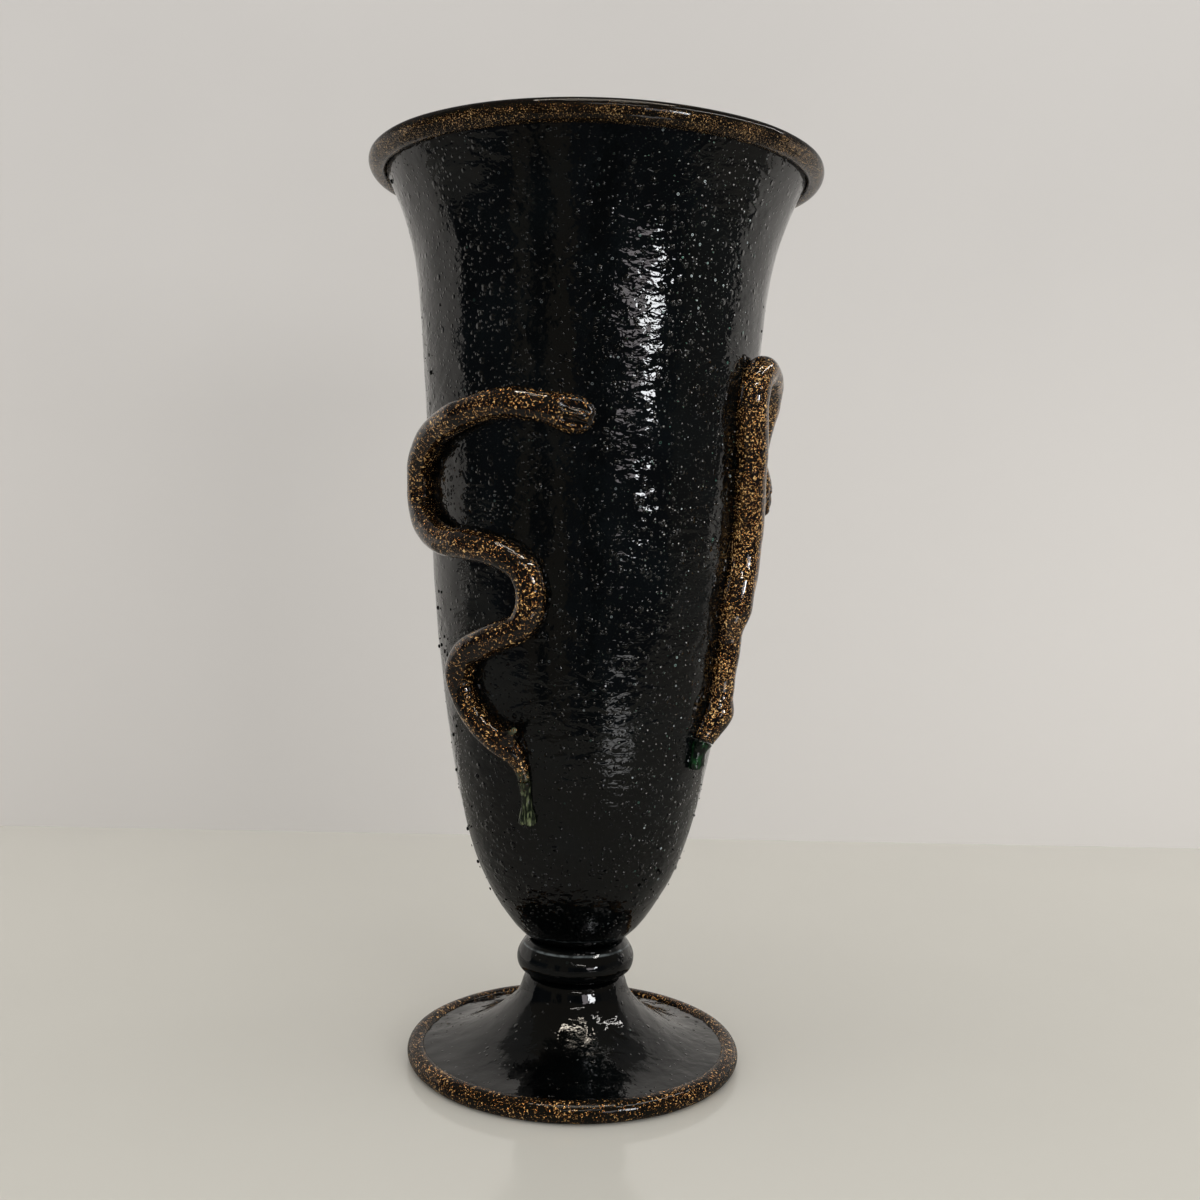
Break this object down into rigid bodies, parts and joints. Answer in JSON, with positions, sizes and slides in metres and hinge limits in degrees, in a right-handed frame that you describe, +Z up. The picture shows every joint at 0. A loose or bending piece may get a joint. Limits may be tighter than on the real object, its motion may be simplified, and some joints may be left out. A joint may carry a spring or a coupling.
{
  "type": "glass vase",
  "caption": "Footed vase of dark blown glass: flared open bowl, round collar and trumpet foot, with speckled beads on both edges and applied snake-shaped canes on the wall.",
  "frame": {"origin": "on the table, under the vase's axis, at the centre of the ring it stands on", "axes": "+Z up along the vase's axis; -Y is the front of the picture, between the snakes; +X to the right of that view"},
  "size_m": [0.1994, 0.1994, 0.4],
  "materials": {
    "dark_glass": "glossy blown glass, nearly black bottle green, softly hammered and full of small bubbles, opaque at this thickness",
    "speckled_bead_glass": "glossy dark glass densely filled with fine brown-gold metallic flecks",
    "speckled_snake_glass": "glossy dark glass densely filled with gold, orange and copper metallic flecks",
    "green_glass": "glossy dark green transparent glass"
  },
  "bodies": {
    "root": {"foot": "dark_glass", "foot_wrap": "speckled_bead_glass", "collar": "dark_glass", "bowl": "dark_glass", "lip_wrap": "speckled_bead_glass", "snake_left": "speckled_snake_glass", "snake_left_tail_tip": "green_glass", "snake_right": "speckled_snake_glass", "snake_right_tail_tip": "green_glass"}
  },
  "joints": []
}
